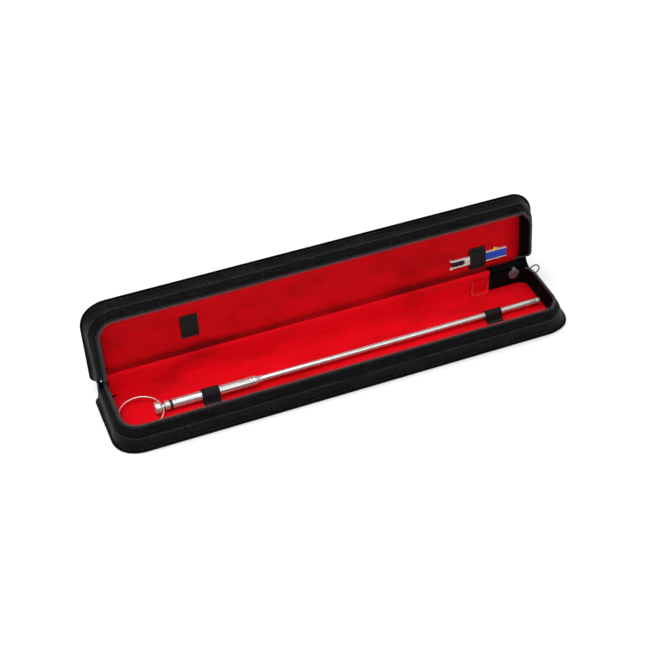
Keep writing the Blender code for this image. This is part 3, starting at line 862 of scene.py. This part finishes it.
def ribbed_band(name, path, x, width, body, node, turn=None):
    """A flat elastic band along a (y, z) path, with its ribs running lengthways."""
    ribs = 9
    across = ribs * 4
    count = 56
    thickness = 0.9 * MM
    spots = resample([Vector((0, y, z)) for y, z in path], sum_lengths(path) / count * 0.9999)
    tangents = [framed[1] for framed in frames_along(spots, Vector((1, 0, 0)))]
    rows = []
    for i, (spot, tangent) in enumerate(zip(spots, tangents)):
        row = []
        t = i / (len(spots) - 1)
        for k in range(across + 1):
            s = k / across
            rib = abs(sin(pi * ribs * s)) ** 0.6
            pick = 0.5 + 0.5 * cos(2 * pi * i / 2)
            rise = 0.42 * MM * rib + 0.10 * MM * pick
            waist = 1 - 0.03 * sin(pi * t)
            row.append(Vector((x + (s - 0.5) * width * waist, 0, 0)) + spot + normal_of(tangent) * rise)
        rows.append(row)
    under = [[point - normal_of(tangent) * thickness for point in row] for row, tangent in zip(rows, tangents)]
    closed = [row + list(reversed(low)) for row, low in zip(rows, under)]
    obj = skin(name, closed, ELASTIC, 50, wrap_cols=True, cap_rows=True)
    if turn:
        obj.data.transform(turn)
    return fixed(obj, body, "elastic", node)


def sum_lengths(path):
    return sum((Vector(b) - Vector(a)).length for a, b in zip(path, path[1:]))


def normal_of(tangent):
    """Square to a tangent in the YZ plane, on the side the band's face is on."""
    return Vector((0, -tangent.z, tangent.y))


def band_stitches(name, x, width, rows, out, body, turn=None):
    """Cross rows of stitching that sew a band's ends down."""
    for i, (y, z) in enumerate(rows):
        a, b = Vector((x - width / 2 + MM, y, z)), Vector((x + width / 2 - MM, y, z))
        obj = stitches(f"{name}_{i}", [a, b], [out, out], BLACK_THREAD, 1.9 * MM, 0.9 * MM, 0.26 * MM)
        if turn:
            obj.data.transform(turn)
        fixed(obj, body, "elastic")


def bow_path(centre, radius, foot, reach):
    """From the sewn end on the far side, over a round stick, to the sewn end on the near side."""
    y, z = centre
    path = [(y + radius + reach, foot), (y + radius + 3 * MM, foot), (y + radius + 1.4 * MM, foot + 0.5 * MM)]
    path += [(y + radius * cos(radians(a)), z + radius * sin(radians(a))) for a in range(-14, 195, 13)]
    path += [(y - radius - 1.4 * MM, foot + 0.5 * MM), (y - radius - 3 * MM, foot), (y - radius - reach, foot)]
    return path


def make_base_bands():
    for side, stick_radius in (("left", 5 * MM), ("right", 3 * MM)):
        node = f"base_loop_{side}"
        low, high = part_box(node)
        x, width = (low.x + high.x) / 2, high.x - low.x
        foot = FLOOR_TOP + 0.7 * MM
        y_mid = (low.y + high.y) / 2
        z_mid = high.z - stick_radius - 1.1 * MM
        radius = stick_radius + 0.75 * MM
        reach = (high.y - low.y) / 2 - radius
        path = bow_path((y_mid, z_mid), radius, foot, reach)
        path = [(y, z) for y, z in reversed(path)]
        ribbed_band(f"stick_band_{side}", path, x, width - 0.6 * MM, "base", node)
        sewn = radius + reach - 1.4 * MM
        rows = [(y_mid + sewn, foot + 0.75 * MM), (y_mid - sewn, foot + 0.75 * MM)]
        band_stitches(f"stick_band_{side}_sewing", x, width, rows, Vector((0, 0, 1)), "base")


def make_lid_bands():
    face = 2 * MID - LID_LINING_DEPTH
    for side, raise_mid, centre_y in (("left", 1.5 * MM, 6 * MM), ("right", 3.4 * MM, 18 * MM)):
        node = f"lid_loop_{side}"
        low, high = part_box(node)
        x, width = (low.x + high.x) / 2, high.x - low.x
        flat = face - 0.7 * MM
        half = [(13.5, 0), (11.5, 0), (9.6, 0.12), (8.4, 0.65), (7.3, 0.97), (5.5, 1.0), (2.5, 1.03)]
        path = [(centre_y + y * MM, flat - raise_mid * share) for y, share in half]
        path += [(centre_y - y * MM, flat - raise_mid * share) for y, share in reversed(half)]
        ribbed_band(f"lid_band_{side}", path, x, width - 0.6 * MM, "lid", node, OPEN)
        rows = [(centre_y + 12.2 * MM, flat - 0.7 * MM), (centre_y - 12.2 * MM, flat - 0.7 * MM)]
        band_stitches(f"lid_band_{side}_sewing", x, width, rows, Vector((0, 0, -1)), "lid", OPEN)


# ---------------------------------------------------------------- stick


def lathe(name, profile, axis_point, material, sides=64, angle=30):
    """(x, radius) turned about a line along X through a point. Rings of no radius close to a point."""
    bm = bmesh.new()
    rings = []
    for x, radius in profile:
        if radius <= 0:
            rings.append([bm.verts.new(Vector((x, axis_point.y, axis_point.z)))])
            continue
        ring = []
        for k in range(sides):
            a = 2 * pi * k / sides
            ring.append(bm.verts.new(Vector((x, axis_point.y + radius * cos(a), axis_point.z + radius * sin(a)))))
        rings.append(ring)
    for a, b in zip(rings, rings[1:]):
        for k in range(sides):
            n = (k + 1) % sides
            if len(a) == 1:
                bm.faces.new((a[0], b[n], b[k]))
            elif len(b) == 1:
                bm.faces.new((a[k], a[n], b[0]))
            else:
                bm.faces.new((a[k], a[n], b[n], b[k]))
    return finish_mesh(bm, name, material, angle)


def rounded(profile, width=0.25 * MM):
    """A profile with each inner point cut to a small round of three points."""
    result = [profile[0]]
    for before, point, after in zip(profile, profile[1:], profile[2:]):
        p, a, b = Vector(point), Vector(before), Vector(after)
        w_in = min(width, (a - p).length * 0.4)
        w_out = min(width, (b - p).length * 0.4)
        if w_in < 1e-6 or w_out < 1e-6:
            result.append(point)
            continue
        start = p + (a - p).normalized() * w_in
        end = p + (b - p).normalized() * w_out
        middle = (start + end) / 4 + p / 2
        result += [tuple(start), tuple(middle), tuple(end)]
    result.append(profile[-1])
    return result


def make_stick():
    axis = stick_axis()

    def turned(name, profile, node, material=STEEL, width=0.25 * MM):
        obj = lathe(name, rounded([(x * MM, r * MM) for x, r in profile], width), axis, material)
        return fixed(obj, "stick", "steel", node)

    pommel = turned(
        "pommel_knob",
        [(-203.2, 0), (-203.2, 5.4), (-202.4, 6.3), (-201.6, 6.5), (-198, 6.5), (-197.2, 6.3), (-196.4, 5.2),
         (-196.2, 2.9), (-192.45, 2.8), (-192.45, 0)],
        "pommel",
    )
    bore(pommel, Vector((-194.5 * MM, axis.y, axis.z)), 0.95 * MM, 7 * MM)
    turned(
        "collar",
        [(-192.25, 0), (-192.25, 4.5), (-191.6, 5.2), (-190.4, 5.2), (-190.2, 4.9), (-189.6, 4.9), (-189.4, 5.2),
         (-187.8, 5.2), (-187.15, 4.6), (-187.15, 0)],
        "end_collar",
        width=0.15 * MM,
    )
    turned(
        "grip_tube",
        [(-186.9, 0), (-186.9, 3), (-184.6, 3), (-184.6, 4.5), (-184.1, 5), (-180.6, 5), (-180.3, 4.75),
         (-179.9, 4.75), (-179.6, 5), (-101.5, 5), (-101.2, 4.8), (-100.8, 4.8), (-100.5, 5), (-98.1, 5),
         (-98.1, 0)],
        "handle",
        width=0.12 * MM,
    )
    turned(
        "grip_ferrule",
        [(-97.75, 0), (-97.75, 4.95), (-96.2, 5.0), (-94.6, 4.75), (-92.6, 4.05), (-91, 3.62), (-91, 0)],
        "ferrule",
        width=0.3 * MM,
    )
    turned(
        "rod_collet",
        [(-90.75, 0), (-90.75, 3.4), (-90.5, 3.6), (-88.4, 3.6), (-88.1, 3.35), (-88.1, 0)],
        "collet",
        width=0.15 * MM,
    )
    turned("long_rod", [(-87.85, 0), (-87.85, 3.0), (229.9, 3.0), (229.9, 0)], "rod", ROD_STEEL, 0.2 * MM)
    turned(
        "hollow_tip",
        [(230.2, 0), (230.2, 2.9), (230.4, 3.0), (234.3, 3.0), (234.9, 2.6), (235, 2.0), (234.7, 1.35), (233.4, 1.1),
         (231, 1.05), (230.9, 0)],
        "rod_tip",
        width=0.12 * MM,
    )
    make_o_ring(axis)
    make_pommel_ring()


def stick_axis():
    low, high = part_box("rod")
    return Vector((0, (low.y + high.y) / 2, (low.z + high.z) / 2))


def drill(name, radius, length, centre, axis):
    """A cutter for a round hole at a centre, turned a quarter about an axis from lying along X."""
    profile = [(-length, 0), (-length, radius), (length, radius), (length, 0)]
    cutter = lathe(name, profile, Vector((0, 0, 0)), RUBBER, 24)
    cutter.data.transform(Matrix.Translation(centre) @ Matrix.Rotation(pi / 2, 4, axis))
    return cutter


def bore(obj, centre, radius, length):
    """A round hole along Y, cut with a boolean."""
    cutter = drill(f"{obj.name}_drill", radius, length, centre, "Z")
    mod = obj.modifiers.new("hole", "BOOLEAN")
    mod.operation = "DIFFERENCE"
    mod.object = cutter
    depsgraph = bpy.context.evaluated_depsgraph_get()
    mesh = bpy.data.meshes.new_from_object(obj.evaluated_get(depsgraph))
    obj.modifiers.clear()
    obj.data = mesh
    bpy.data.objects.remove(cutter, do_unlink=True)


def torus(name, centre, radius, wire, normal, material, around, sides):
    """A closed wire ring in the plane square to a normal."""
    axis = Vector(normal).normalized()
    first = axis.orthogonal().normalized()
    second = axis.cross(first)
    rows = []
    for i in range(around):
        a = 2 * pi * i / around
        out = first * cos(a) + second * sin(a)
        rows.append([centre + out * (radius + wire * cos(b)) + axis * (wire * sin(b))
                     for b in (2 * pi * k / sides for k in range(sides))])
    return skin(name, rows, material, 60, wrap_rows=True, wrap_cols=True)


def make_o_ring(axis):
    low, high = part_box("o_ring")
    wire = (high.x - low.x) / 2
    centre = Vector(((low.x + high.x) / 2, axis.y, axis.z))
    ring = torus("rubber_ring", centre, (high.y - low.y) / 2 - wire, wire * 0.98, (1, 0, 0), RUBBER, 64, 12)
    fixed(ring, "stick", "rubber", "o_ring")


def make_pommel_ring():
    low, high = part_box("pommel_ring")
    wire = (high.z - low.z) / 2
    radius = (high.x - low.x) / 2 - wire
    centre = (low + high) / 2
    ring = torus("end_ring", centre, radius, wire, (0, 0, 1), WIRE_STEEL, 128, 12)
    fixed(ring, "pommel_ring", "steel", "pommel_ring")


# ---------------------------------------------------------------- small tool


def shape(name, outline, low, high, material, edge=0.2 * MM, turn=OPEN):
    """A flat plate cut to an outline of (x, y), from low to high, with eased edges, swung open with the lid."""
    bm = bmesh.new()
    bottom = [bm.verts.new((x, y, low)) for x, y in outline]
    top = [bm.verts.new((x, y, high)) for x, y in outline]
    bm.faces.new(bottom)
    bm.faces.new(top)
    for i in range(len(outline)):
        k = (i + 1) % len(outline)
        bm.faces.new((bottom[i], bottom[k], top[k], top[i]))
    obj = finish_mesh(bm, name, material, 40)
    obj.data.transform(turn)
    return bevel(obj, edge, 3)


def rounded_box(x0, x1, y0, y1, radius, steps=5):
    points = []
    for cx, cy, start in ((x1 - radius, y0 + radius, -90), (x1 - radius, y1 - radius, 0),
                          (x0 + radius, y1 - radius, 90), (x0 + radius, y0 + radius, 180)):
        for i in range(steps + 1):
            a = radians(start + 90 * i / steps)
            points.append((cx + radius * cos(a), cy + radius * sin(a)))
    return points


def shut_box(node):
    """A lid node's own extent with the lid shut."""
    obj = frame["nodes"][node]
    points = [SHUT @ (obj.matrix_world @ vertex.co) for vertex in obj.data.vertices]
    return (
        Vector([min(point[i] for point in points) for i in range(3)]),
        Vector([max(point[i] for point in points) for i in range(3)]),
    )


def make_tool():
    low, high = shut_box("tool_frame")
    x0, x1 = low.x, high.x
    y = (low.y + high.y) / 2
    arm = (high.y - low.y) / 2 - MM
    slot = arm - 1.2 * MM
    slot_end = x0 + 16 * MM
    z0, z1 = low.z, high.z
    outline = [(x0, y - arm - MM), (x0 + 1.6 * MM, y - arm - 0.9 * MM), (x0 + 4 * MM, y - arm),
               (x1, y - arm), (x1, y + arm),
               (x0 + 4 * MM, y + arm), (x0 + 1.6 * MM, y + arm + 0.9 * MM), (x0, y + arm + MM),
               (x0 + 0.3 * MM, y + slot + MM), (x0 + 4 * MM, y + slot)]
    outline += [(slot_end + (slot * 0.6) * cos(radians(a)), y + slot * sin(radians(a)))
                for a in (90, 60, 30, 0, -30, -60, -90)]
    outline += [(x0 + 4 * MM, y - slot), (x0 + 0.3 * MM, y - slot - MM)]
    plate = shape("tool_open_frame", outline, z0, z1, WHITE, 0.25 * MM)
    fixed(plate, "tool", "white_plastic", "tool_frame")
    low_i, high_i = shut_box("tool_insert")
    block = rounded_box(low_i.x - 2 * MM, high_i.x, y - slot + 0.3 * MM, y + slot - 0.3 * MM, 0.8 * MM)
    insert = shape("tool_dark_insert", block, low_i.z, high_i.z, BLACK, 0.2 * MM)
    fixed(insert, "tool", "black_plastic", "tool_insert")
    low_e, high_e = shut_box("tool_eyelet")
    centre = OPEN @ ((low_e + high_e) / 2)
    wire = (high_e.z - low_e.z) / 2
    normal = OPEN.to_3x3() @ Vector((0, 0, 1))
    eyelet = torus("tool_ring", centre, (high_e.x - low_e.x) / 2 - wire, wire, normal, WIRE_STEEL, 40, 10)
    fixed(eyelet, "tool", "steel", "tool_eyelet")
    low_s, high_s = shut_box("tool_sleeve")
    block = rounded_box(low_s.x, high_s.x, low_s.y, high_s.y, 0.9 * MM)
    sleeve = shape("tool_blue_sleeve", block, low_s.z, high_s.z, BLUE, 0.4 * MM)
    fixed(sleeve, "tool", "blue_plastic", "tool_sleeve")
    for side in ("upper", "lower"):
        low_w, high_w = shut_box(f"tool_edge_{side}")
        block = rounded_box(low_w.x, high_w.x, low_w.y, high_w.y, 0.3 * MM, 2)
        edge = shape(f"tool_white_edge_{side}", block, low_w.z, high_w.z, WHITE, 0.15 * MM)
        fixed(edge, "tool", "white_plastic", f"tool_edge_{side}")
    low_t, high_t = shut_box("tool_tab")
    peaks = [(0, 1), (1, 1), (0.86, 0.22), (0.72, 0.62), (0.42, 0.0), (0.2, 0.6)]
    outline = [(mix(low_t.x, high_t.x, a), mix(high_t.y - 4.2 * MM, high_t.y + 0.8 * MM, b)) for a, b in peaks]
    tab = shape("tool_yellow_tab", outline, low_t.z, high_t.z, YELLOW, 0.12 * MM)
    fixed(tab, "tool", "yellow_plastic", "tool_tab")


# ---------------------------------------------------------------- zip slider and pull


def plate_xz(name, outline, y0, y1, material, edge=0.3 * MM):
    """A plate cut to an outline of (x, z) and standing upright between two depths."""
    turn = Matrix(((1, 0, 0, 0), (0, 0, 1, 0), (0, 1, 0, 0), (0, 0, 0, 1)))
    return shape(name, outline, y0, y1, material, edge, turn)


def joined(name, pieces, angle=40):
    """One object from several, with their modifiers applied."""
    depsgraph = bpy.context.evaluated_depsgraph_get()
    bm = bmesh.new()
    for piece in pieces:
        mesh = bpy.data.meshes.new_from_object(piece.evaluated_get(depsgraph))
        bm.from_mesh(mesh)
        bpy.data.meshes.remove(mesh)
    material = pieces[0].data.materials[0]
    for piece in pieces:
        bpy.data.objects.remove(piece, do_unlink=True)
    return finish_mesh(bm, name, material, angle)


def make_slider():
    low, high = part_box("zip_slider")
    x = (low.x + high.x) / 2
    top = high.z
    shield = [(-6.3, 20.2), (-6.6, 23), (-5.6, 25.2), (-3.4, 26), (-1.8, 27.4), (1.8, 27.4), (3.4, 26),
              (5.6, 25.2), (6.6, 23), (6.3, 20.2), (4.6, 16.2), (2.6, 14.6), (-2.6, 14.6), (-4.6, 16.2)]
    outline = [(x + px * MM, pz * MM) for px, pz in shield]
    inner = plate_xz("slider_inner", outline, low.y, low.y + 1.2 * MM, GUNMETAL)
    middle = 20.6
    smaller = [(x + px * 0.72 * MM, (middle + (pz - middle) * 0.66) * MM) for px, pz in shield]
    rim = plate_xz("slider_rim", smaller, low.y - 0.1 * MM, low.y + 0.5 * MM, GUNMETAL, 0.25 * MM)
    outer_y, lip = OUTER_PLATE_Y, top / MM - 0.3
    back = [(-4.4, 8), (-4.4, 18.6), (-3.2, 20.4), (-1.9, 21.5), (-1.9, lip), (1.9, lip), (1.9, 21.5),
            (3.2, 20.4), (4.4, 18.6), (4.4, 8), (3.4, 6.1), (-3.4, 6.1)]
    outline = [(x + px * MM, pz * MM) for px, pz in back]
    outer = plate_xz("slider_outer", outline, outer_y, outer_y + 1.2 * MM, GUNMETAL)
    neck = [(low.y, 26.6 * MM), (low.y + 0.5 * MM, 27.7 * MM), (low.y + 1.4 * MM, top),
            (outer_y, top), (outer_y + 0.9 * MM, top - 0.4 * MM), (outer_y + 1.2 * MM, top - 1.4 * MM),
            (outer_y + 0.2 * MM, 26.6 * MM), (outer_y, 27.3 * MM), (low.y + 1.3 * MM, 27.3 * MM),
            (low.y + 1.1 * MM, 26.6 * MM)]
    turn = Matrix.Translation((x, 0, 0)) @ Matrix(((0, 0, 1, 0), (1, 0, 0, 0), (0, 1, 0, 0), (0, 0, 0, 1)))
    bridge = shape("slider_bridge", neck, -1.9 * MM, 1.9 * MM, GUNMETAL, 0.25 * MM, turn)
    tab_low, tab_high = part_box("zip_pull_tab")
    lugs = []
    for sign in (-1, 1):
        centre_z = (tab_low.z + tab_high.z) / 2 + sign * ((tab_high.z - tab_low.z) / 2 + 0.7 * MM)
        block = rounded_box(x - 1.6 * MM, x + 1.6 * MM, outer_y + 0.4 * MM, high.y, 1.4 * MM)
        lugs.append(shape(f"slider_lug_{sign + 1}", block, centre_z - 0.4 * MM, centre_z + 0.4 * MM,
                          GUNMETAL, 0.15 * MM, Matrix.Identity(4)))
    slider = joined("slider", [inner, rim, outer, bridge, *lugs])
    fixed(slider, "zip_slider", "zip_metal", "zip_slider")
    make_pull(x)


def make_pull(x):
    low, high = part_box("zip_pull_tab")
    y, z = (low.y + high.y) / 2, (low.z + high.z) / 2
    half = (high.y - low.y) / 2
    end = high.x - half
    turns = [radians(a) for a in range(-90, 91, 15)]
    outline = [(x, y - half), *[(end + half * cos(a), y + half * sin(a)) for a in turns], (x, y + half)]
    strip = shape("pull_webbing", outline, low.z, high.z, TAPE_CLOTH, 0.3 * MM, Matrix.Identity(4))
    cutter = drill("pull_drill", 1.15 * MM, 3 * MM, (end, y, z), "Y")
    mod = strip.modifiers.new("hole", "BOOLEAN")
    mod.operation = "DIFFERENCE"
    mod.object = cutter
    strip = joined("pull_strip", [strip], 50)
    bpy.data.objects.remove(cutter, do_unlink=True)
    fixed(strip, "zip_pull_tab", "nylon", "zip_pull_tab")
    for sign in (-1, 1):
        side = y + sign * (half - 0.8 * MM)
        edge = [Vector((mix(x + 2 * MM, end - 2.2 * MM, t / 8), side, high.z)) for t in range(9)]
        outs = [Vector((0, 0, 1))] * len(edge)
        sewing = stitches(f"pull_sewing_{sign + 1}", edge, outs, BLACK_THREAD, 1.7 * MM, 0.9 * MM, 0.22 * MM)
        fixed(sewing, "zip_pull_tab", "nylon")
    low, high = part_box("zip_pull_ring")
    wire = (high.y - low.y) / 2
    centre = (low + high) / 2
    ring = torus("pull_split_ring", centre, (high.x - low.x) / 2 - wire, wire * 1.2, (0, 1, 0), DARK_WIRE, 56, 12)
    fixed(ring, "zip_pull_ring", "zip_metal", "zip_pull_ring")


# ---------------------------------------------------------------- build


for half in (BASE, LID):
    make_body(half)
    make_piping(half)
    make_tape(half)
    make_coil(half)
    wall_stitches(half, f"{half.name}_foot_stitches", 0.25 * MM, 3.6 * MM, HALF_Y + MM)
    wall_stitches(half, f"{half.name}_rim_stitches", -0.1 * MM, 19.0 * MM, 38 * MM)
make_linings()
make_back_lining()
make_fold()
make_end_cloths()
make_gusset("left", -1)
make_gusset("right", 1)
make_patches()
make_base_bands()
make_lid_bands()
make_stick()
make_tool()
make_slider()

# ---------------------------------------------------------------- stage, lights and camera


def make_stage():
    material = bpy.data.materials.new("pale_floor")
    material.use_nodes = True
    shader = material.node_tree.nodes["Principled BSDF"]
    shader.inputs["Base Color"].default_value = (0.97, 0.97, 0.97, 1)
    shader.inputs["Roughness"].default_value = 0.6
    bm = bmesh.new()
    size = 4.0
    add_grid(bm, [[(-size, -size, 0), (size, -size, 0)], [(-size, size, 0), (size, size, 0)]])
    floor = finish_mesh(bm, "floor", material)
    return floor


def area_light(name, place, target, size, power, size_y=None):
    data = bpy.data.lights.new(name, "AREA")
    data.shape = "RECTANGLE"
    data.size = size
    data.size_y = size_y or size
    data.energy = power
    obj = bpy.data.objects.new(name, data)
    bpy.context.scene.collection.objects.link(obj)
    obj.location = place
    obj.rotation_euler = (Vector(target) - Vector(place)).to_track_quat("-Z", "Y").to_euler()


def make_lights():
    world = bpy.data.worlds.new("studio")
    bpy.context.scene.world = world
    world.use_nodes = True
    background = world.node_tree.nodes["Background"]
    background.inputs["Color"].default_value = (1, 1, 1, 1)
    background.inputs["Strength"].default_value = 0.72
    area_light("key", (-0.45, -0.1, 1.5), (0, 0, 0), 1.2, 15, 0.8)
    area_light("fill", (0.5, -1.2, 0.8), (0, 0, 0), 0.9, 4)
    area_light("back", (0.1, 1.3, 1.1), (0, 0, 0.02), 1.6, 2, 0.5)


def make_camera():
    bpy.context.scene.view_settings.view_transform = "Standard"
    azimuth, elevation, roll = radians(-22.1), radians(43.3), radians(-0.35)
    distance, lens = 1.512, 79.8
    back = Vector((sin(azimuth) * cos(elevation), -cos(azimuth) * cos(elevation), sin(elevation)))
    data = bpy.data.cameras.new("camera")
    data.lens = lens
    data.sensor_width = 36
    data.shift_x = -0.0258
    data.shift_y = 0.0622
    camera = bpy.data.objects.new("camera", data)
    bpy.context.scene.collection.objects.link(camera)
    camera.location = back * distance
    camera.rotation_euler = (back.to_track_quat("Z", "Y").to_matrix() @ Matrix.Rotation(roll, 3, "Z")).to_euler()
    bpy.context.scene.camera = camera


make_stage()
make_lights()
make_camera()
